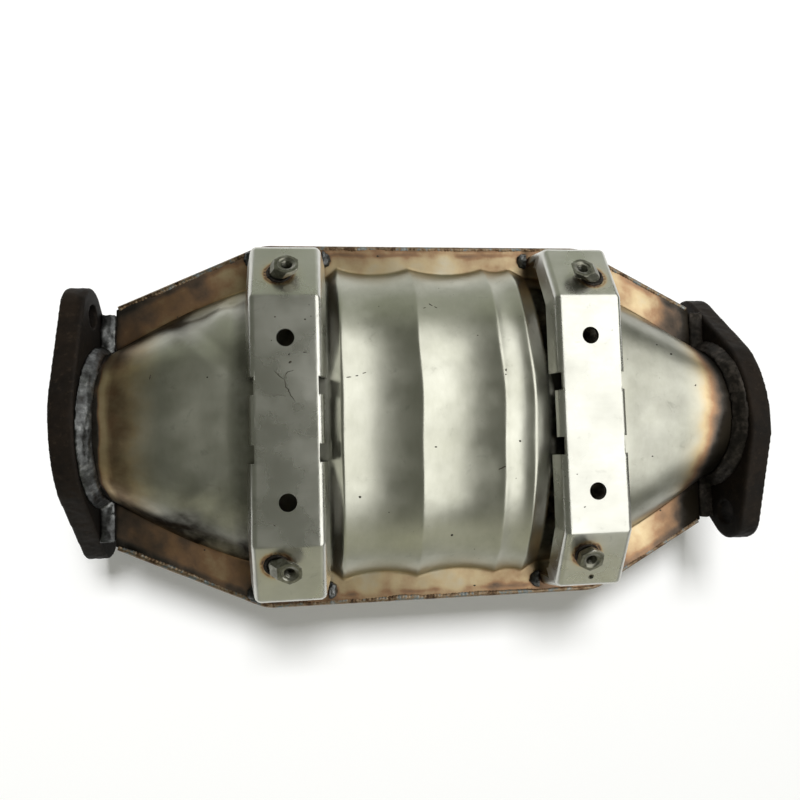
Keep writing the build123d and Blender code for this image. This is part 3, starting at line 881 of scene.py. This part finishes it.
def seam_bead(side, name, node, seed):
    """A rippled bead laid along the edge of the seam flange."""
    xs = np.arange(SEAM_IN + 0.3, SEAM_OUT - 0.3, 0.05)
    edge = seam_edge(xs)
    along = np.concatenate([[0], np.cumsum(np.hypot(np.diff(xs), np.diff(edge)))])
    stops = np.arange(0, along[-1], 0.55)
    x = np.interp(stops, along, xs)
    y = np.interp(stops, along, edge)
    tangent = np.stack([np.gradient(x), np.gradient(y)], 1)
    tangent /= np.linalg.norm(tangent, axis=1, keepdims=True)
    outward = np.stack([-tangent[:, 1], tangent[:, 0]], 1)
    outward *= np.sign(outward[:, 1])[:, None]
    path = np.stack([x, y, np.zeros_like(x)], 1)
    swell = clouds(path, 14.0, seed, 3)
    beat = np.abs(np.sin(stops * 1.9 + 1.5 * clouds(path, 8.0, seed + 1, 2)))
    half_high = 2.15 + 0.35 * swell + 0.22 * beat
    half_wide = 1.55 + 0.30 * swell + 0.16 * beat
    steps = 16
    verts = []
    for k in range(len(stops)):
        centre = half_wide[k] + 0.04
        for j in range(steps):
            a = 2 * pi * j / steps
            out = -centre + half_wide[k] * cos(a)
            verts.append((
                x[k] + outward[k, 0] * out,
                side * (y[k] + outward[k, 1] * out),
                half_high[k] * sin(a),
            ))
    verts = np.array(verts)
    verts[:, 1] = np.clip(verts[:, 1], -SEAM_HALF + 0.01, SEAM_HALF - 0.01)
    count = len(stops)
    faces = grid_faces(count, steps, wrap_columns=True, flip=side > 0)
    first_cap = tuple(range(steps))
    last_cap = tuple((count - 1) * steps + j for j in reversed(range(steps)))
    faces += [first_cap, last_cap] if side < 0 else [first_cap[::-1], last_cap[::-1]]
    obj = add_object(name, verts, faces, SEAM_WELD, 60)
    settle(obj, node)


seam_bead(1, "bead_left", "seam_weld_left", 41)
seam_bead(-1, "bead_right", "seam_weld_right", 43)

for end in ("inlet", "outlet"):
    for number, side in enumerate(("left", "right")):
        node = f"{end}_foot_weld_{side}"
        obj = voxel_node(node, f"lump_{end}_{side}", SILVER_WELD, 0.35, 2)
        p = positions(obj)
        n = normals(obj)
        push = clouds(p, 3.0, 51 + number, 3) * 0.55 + np.sin(p[:, 1] * 2.4) * 0.12
        p = p + n * push[:, None]
        p[:, 2] = np.maximum(p[:, 2], SHEET - 0.3)
        p[:, 1] = np.clip(p[:, 1], -SEAM_HALF + 0.05, SEAM_HALF - 0.05)
        move_to(obj, p)
        settle(obj, node)


# Weld nuts

def weld_nut(end, side):
    """A leaning hexagon nut with a collar, a threaded bore and its ring of weld."""
    offset, reach, lean_x, lean_y = STANCES[(end, side)]
    place = slope_matrix(end, side, offset, reach)
    lean_x *= 1 if side == "left" else -1
    around = 96
    flats, high, collar_high, collar_r, bore, depth = 11.0, 6.5, 2.4, 4.4, 2.5, 5.0
    rings = [(0.0, collar_r, 0), (1.1, collar_r, 0), (2.2, collar_r, 0), (collar_high, collar_r + 0.2, 0)]
    rings += [(collar_high + 0.02, 5.3, 1), (collar_high + 0.3, 6.0, 1), (3.0, 6.6, 1), (6.0, 6.6, 1)]
    rings += [(6.32, 6.2, 1), (6.48, 5.6, 1), (high, 5.3, 1), (high, 4.15, 0), (6.35, 3.95, 0), (6.0, 3.3, 0)]
    verts = []
    for h, r, hexed in rings:
        for k in range(around):
            a = 2 * pi * k / around
            limit = flats / 2 / cos((a + radians(30)) % radians(60) - radians(30))
            radius = min(r, limit) if hexed else r
            verts.append((radius * cos(a) + lean_x * min(h / high, 1), radius * sin(a) + lean_y * h / high, h))
    turns = 26
    for i in range(turns):
        h = 5.9 - (depth - 0.6) * i / (turns - 1)
        for k in range(around):
            a = 2 * pi * k / around
            wave = abs(((h / 1.0 + k / around) % 1.0) - 0.5) * 2
            radius = bore + 0.35 * wave
            verts.append((radius * cos(a) + lean_x, radius * sin(a) + lean_y, h))
    count = len(rings) + turns
    faces = grid_faces(count, around, wrap_columns=True)
    faces.append(tuple(reversed(range(around))))
    faces.append(tuple((count - 1) * around + k for k in range(around)))
    verts = np.array([place @ Vector(v) for v in verts])
    obj = add_object(f"nut_{end}_{side}", verts, faces, NUT, 24)
    settle(obj, f"{end}_nut_{side}")
    nut_ring(end, side, place, 61 + int(reach))


def nut_ring(end, side, place, seed):
    """The uneven ring of weld at the nut's foot."""
    around, steps, wire = 120, 14, 0.85
    ring = []
    for k in range(around):
        a = 2 * pi * k / around
        base = Vector((cos(a), sin(a), 0))
        lump = noise.fractal(base * 2.3 + Vector((seed, 0, 0)), 0.7, 2.0, 3)
        fine = noise.noise(base * 11 + Vector((0, seed, 0)))
        r = wire * (0.95 + 0.28 * lump + 0.10 * fine)
        for j in range(steps):
            b = 2 * pi * j / steps
            out = 5.1 + r * cos(b) * 1.1
            ring.append(place @ Vector((out * cos(a), out * sin(a), max(r * sin(b), -0.15))))
    faces = grid_faces(around, steps, wrap_rows=True, wrap_columns=True)
    obj = add_object(f"nutring_{end}_{side}", np.array(ring), faces, BURNT_WELD, 50)
    settle(obj, f"{end}_nut_{side}_ring")


for key in STANCES:
    weld_nut(*key)


# The core

def honeycomb_material():
    g = Graph("coated_ceramic")
    colour = g.mix(g.span(g.noise(11, 4), 0.35, 0.65), (0.42, 0.33, 0.20), (0.62, 0.52, 0.36))
    colour = g.mix(g.span(g.noise(2.0, 3), 0.5, 0.75, 0.0, 0.5), colour, (0.25, 0.19, 0.12))
    g.set(Base_Color=colour, Roughness=0.85, Normal=g.bump(g.noise(0.8, 3), 0.05, 0.5))
    return g.material


def fibre_material(name, dark, light, size):
    g = Graph(name)
    strands = g.noise(size, 5, 0.7, g.stretch(1.0, 3.0, 3.0), 1.2)
    colour = g.mix(g.span(strands, 0.35, 0.65), dark, light)
    g.set(Base_Color=colour, Roughness=0.9, Normal=g.bump(strands, 0.25, 0.9))
    return g.material


CERAMIC = honeycomb_material()
MAT = fibre_material("mat_fibre", (0.34, 0.30, 0.24), (0.62, 0.58, 0.50), 2.2)
MESH_SEAL = fibre_material("seal_wire", (0.10, 0.095, 0.085), (0.34, 0.32, 0.29), 1.1)


def core():
    """The ceramic core: its two end faces are open cells, its side is plain."""
    low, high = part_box("ceramic_brick")
    x0, x1 = low[0] / MM, high[0] / MM
    w, h, p = high[1] / MM, high[2] / MM, FULLNESS
    pitch, wall, deep = 1.8, 0.32, 3.0
    verts, faces = [], []

    def inside(y, z):
        return abs(y) < w and abs(z) < h * (1 - (y / w) ** 2) ** p

    for x, way in ((x0, 1), (x1, -1)):
        for iy in range(int(-w / pitch) - 1, int(w / pitch) + 2):
            for iz in range(int(-h / pitch) - 1, int(h / pitch) + 2):
                y, z = iy * pitch, iz * pitch
                if not all(inside(y + a, z + b) for a in (-1.1, 1.1) for b in (-1.1, 1.1)):
                    continue
                start = len(verts)
                half, gap = pitch / 2, pitch / 2 - wall / 2
                for reach, depth in ((half, 0), (gap, 0), (gap, deep)):
                    for sy, sz in ((-1, -1), (1, -1), (1, 1), (-1, 1)):
                        verts.append((x + way * depth, y + sy * reach, z + sz * reach))
                for level in (0, 4):
                    for k in range(4):
                        a, b = start + level + k, start + level + (k + 1) % 4
                        quad = (a, a + 4, b + 4, b)
                        faces.append(quad if way > 0 else quad[::-1])
                floor = tuple(start + 8 + k for k in range(4))
                faces.append(floor if way < 0 else floor[::-1])
    rim = 160
    around = [2 * pi * k / rim for k in range(rim)]
    start = len(verts)
    for x in (x0 + 0.02, x1 - 0.02):
        for a in around:
            y = w * cos(a)
            z = h * abs(sin(a)) ** (2 * p) * (1 if sin(a) >= 0 else -1)
            verts.append((x, y, z))
    faces += grid_faces(2, rim, wrap_columns=True, start=start)
    for x, base in ((x0 + 0.02, start), (x1 - 0.02, start + rim)):
        first = len(verts)
        for a in around:
            y = (w - 2.2) * cos(a)
            z = (h - 2.0) * abs(sin(a)) ** (2 * p) * (1 if sin(a) >= 0 else -1)
            verts.append((x + (1.2 if base == start else -1.2), y, z))
        for k in range(rim):
            a, b = base + k, base + (k + 1) % rim
            c, d = first + (k + 1) % rim, first + k
            faces.append((a, b, c, d) if base == start else (d, c, b, a))
    obj = add_object("core", np.array(verts), faces, CERAMIC, 20)
    settle(obj, "ceramic_brick")


core()

for node, name, material, slot, size in (
    ("support_mat", "mat_wrap", MAT, "mat_fibre", 4.0),
    ("inlet_end_seal", "seal_inlet", MESH_SEAL, "seal_mesh", 2.0),
    ("outlet_end_seal", "seal_outlet", MESH_SEAL, "seal_mesh", 2.0),
):
    obj = copy_node(node, name, material, size, 30)
    p = positions(obj)
    n = normals(obj)
    move_to(obj, p + n * np.minimum(clouds(p, 2.5, 71, 2) * 0.25 - 0.1, 0)[:, None])
    settle(obj, node)


# Studio

def studio():
    """A plain pale floor that glows a little to the camera, so that it looks white and keeps the shadow."""
    g = Graph("pale_floor")
    g.tree.nodes.remove(g.shader)
    matt = g.tree.nodes.new("ShaderNodeBsdfDiffuse")
    matt.inputs["Color"].default_value = (0.86, 0.86, 0.86, 1)
    glow = g.tree.nodes.new("ShaderNodeEmission")
    glow.inputs["Color"].default_value = (1, 1, 1, 1)
    path = g.tree.nodes.new("ShaderNodeLightPath")
    seen = g.math("MAXIMUM", path.outputs["Is Camera Ray"], path.outputs["Is Glossy Ray"])
    seen = g.math("MAXIMUM", seen, path.outputs["Is Transmission Ray"])
    g.feed(glow.inputs["Strength"], g.math("MULTIPLY", seen, 0.16))
    both = g.tree.nodes.new("ShaderNodeAddShader")
    g.tree.links.new(matt.outputs[0], both.inputs[0])
    g.tree.links.new(glow.outputs[0], both.inputs[1])
    g.tree.links.new(both.outputs[0], g.output.inputs[0])
    mesh = bpy.data.meshes.new("floor")
    corners = [(x * FLOOR_HALF, y * FLOOR_HALF, FLOOR_Z) for x, y in ((-1, -1), (1, -1), (1, 1), (-1, 1))]
    mesh.from_pydata(corners, [], [(0, 1, 2, 3)])
    floor = bpy.data.objects.new("floor", mesh)
    bpy.context.scene.collection.objects.link(floor)
    mesh.materials.append(g.material)


def area_lamp(name, place, target, size, power, colour):
    data = bpy.data.lights.new(name, "AREA")
    data.shape = "RECTANGLE"
    data.size, data.size_y = size
    data.energy = power
    data.color = colour
    lamp = bpy.data.objects.new(name, data)
    direction = Vector(target) - Vector(place)
    lamp.matrix_world = Matrix.Translation(place) @ direction.to_track_quat("-Z", "Y").to_matrix().to_4x4()
    bpy.context.scene.collection.objects.link(lamp)
    return lamp


studio()
middle = (0.17, 0.0, 0.0)
softbox = area_lamp("softbox_right", (0.80, 0.08, 0.88), (0.17, 0.05, 0.0), (2.8, 1.0), 16.9, (1.0, 0.995, 0.97))
softbox.visible_diffuse = False
area_lamp("panel_back", (0.17, 1.25, 0.30), middle, (1.7, 0.40), 0.65, (0.93, 1.0, 0.76))
area_lamp("panel_front", (0.17, -1.25, 0.34), middle, (1.7, 0.40), 0.95, (1.0, 0.98, 0.72))
key = area_lamp("key", (0.14, 1.25, 2.25), middle, (0.8, 0.8), 70.0, (0.99, 0.99, 1.0))
key.visible_glossy = False
for lamp in [obj for obj in bpy.data.objects if obj.type == "LIGHT"]:
    lamp.visible_camera = False

world = bpy.data.worlds.new("studio")
bpy.context.scene.world = world
world.use_nodes = True
background = world.node_tree.nodes["Background"]
background.inputs["Color"].default_value = (0.98, 1.0, 0.82, 1)
background.inputs["Strength"].default_value = 0.165
bpy.context.scene.view_settings.view_transform = "Standard"
